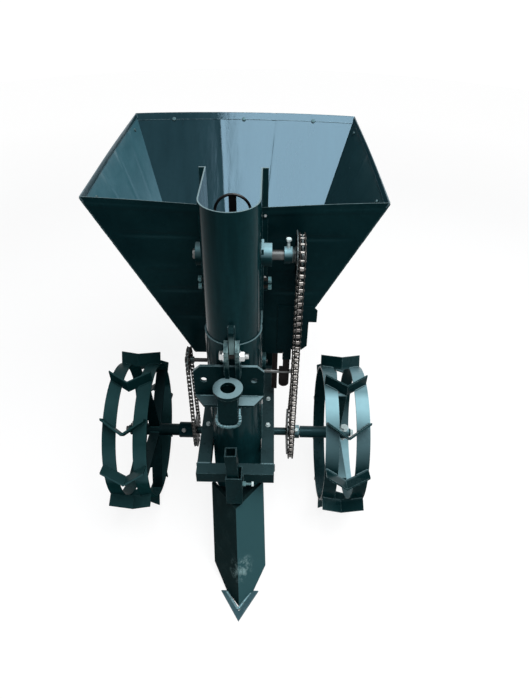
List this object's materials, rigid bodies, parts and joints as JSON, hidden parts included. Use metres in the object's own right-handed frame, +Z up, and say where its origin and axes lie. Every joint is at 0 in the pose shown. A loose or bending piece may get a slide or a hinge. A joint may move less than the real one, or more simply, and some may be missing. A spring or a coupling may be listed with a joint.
{
  "type": "walk-behind tractor seed drill",
  "caption": "One-row seed drill with a hopper over a ring-cup elevator in an upright pipe, two lugged steel wheels, a V furrow opener and a ring hitch.",
  "frame": {"origin": "on the ground under the middle of the wheel axle", "axes": "+X to the right seen from the hitch, -Y towards the hitch and the furrow opener, +Z up"},
  "size_m": [0.611, 0.933, 0.877],
  "materials": {
    "green_paint": "gloss",
    "dark_steel": "satin",
    "bare_steel": "satin",
    "black_cups": "satin",
    "brown_paint": "satin"
  },
  "bodies": {
    "frame": {"front_crossbar": "green_paint", "side_rails": "green_paint", "rear_crossbar": "green_paint", "hopper_stays": "green_paint", "hopper_front": "green_paint", "hopper_rear": "green_paint", "hopper_left": "green_paint", "hopper_right": "green_paint", "hopper_floor": "green_paint", "guard_plate": "green_paint", "seed_pipe": "green_paint", "elevator_channel": "green_paint", "side_plate_left": "green_paint", "side_plate_right": "green_paint", "boot": "green_paint", "axle_bearing_left": "green_paint", "axle_bearing_right": "green_paint", "upper_bearing_left": "green_paint", "upper_bearing_right": "green_paint", "lower_bearing_left": "green_paint", "lower_bearing_right": "green_paint", "hitch_plate": "green_paint", "hitch_tube": "green_paint", "clevis_lugs": "green_paint", "tongue_plate": "green_paint", "clevis_bolt": "bare_steel", "opener_sleeve": "green_paint", "tension_rod": "bare_steel", "tension_idler": "brown_paint", "tension_finger": "brown_paint", "tension_hanger": "brown_paint", "drive_chain": "dark_steel", "left_chain": "dark_steel", "cup_chain": "dark_steel", "seed_cups": "black_cups"},
    "axle": {"axle": "bare_steel", "wheel_rim_left": "green_paint", "wheel_rim_right": "green_paint", "wheel_hub_left": "green_paint", "wheel_hub_right": "green_paint", "axle_sprockets": "dark_steel", "axle_sprocket_left": "dark_steel"},
    "upper_shaft": {"upper_shaft": "bare_steel", "upper_sprockets": "dark_steel", "cup_sprocket": "dark_steel"},
    "agitator": {"agitator_shaft": "bare_steel", "agitator_sprocket": "dark_steel"},
    "opener": {"opener_stem": "green_paint", "opener_blades": "green_paint", "opener_share": "green_paint"}
  },
  "joints": [
    {"name": "axle_spin", "type": "hinge", "parent": "frame", "child": "axle", "pos_m": [0, 0, 0.20016], "axis": [1, 0, 0], "continuous": true},
    {"name": "upper_spin", "type": "hinge", "parent": "frame", "child": "upper_shaft", "pos_m": [0, -0.006, 0.725], "axis": [1, 0, 0], "continuous": true},
    {"name": "agitator_spin", "type": "hinge", "parent": "frame", "child": "agitator", "pos_m": [0, -0.006, 0.44788], "axis": [1, 0, 0], "continuous": true},
    {"name": "opener_depth", "type": "slide", "parent": "frame", "child": "opener", "axis": [-0.0489, 0, 0.9988], "range_m": [-0.06, 0]}
  ],
  "couplings": [
    {"joint": "upper_spin", "follows": "axle_spin", "ratio": 1.6667},
    {"joint": "agitator_spin", "follows": "axle_spin", "ratio": 1.4615}
  ]
}
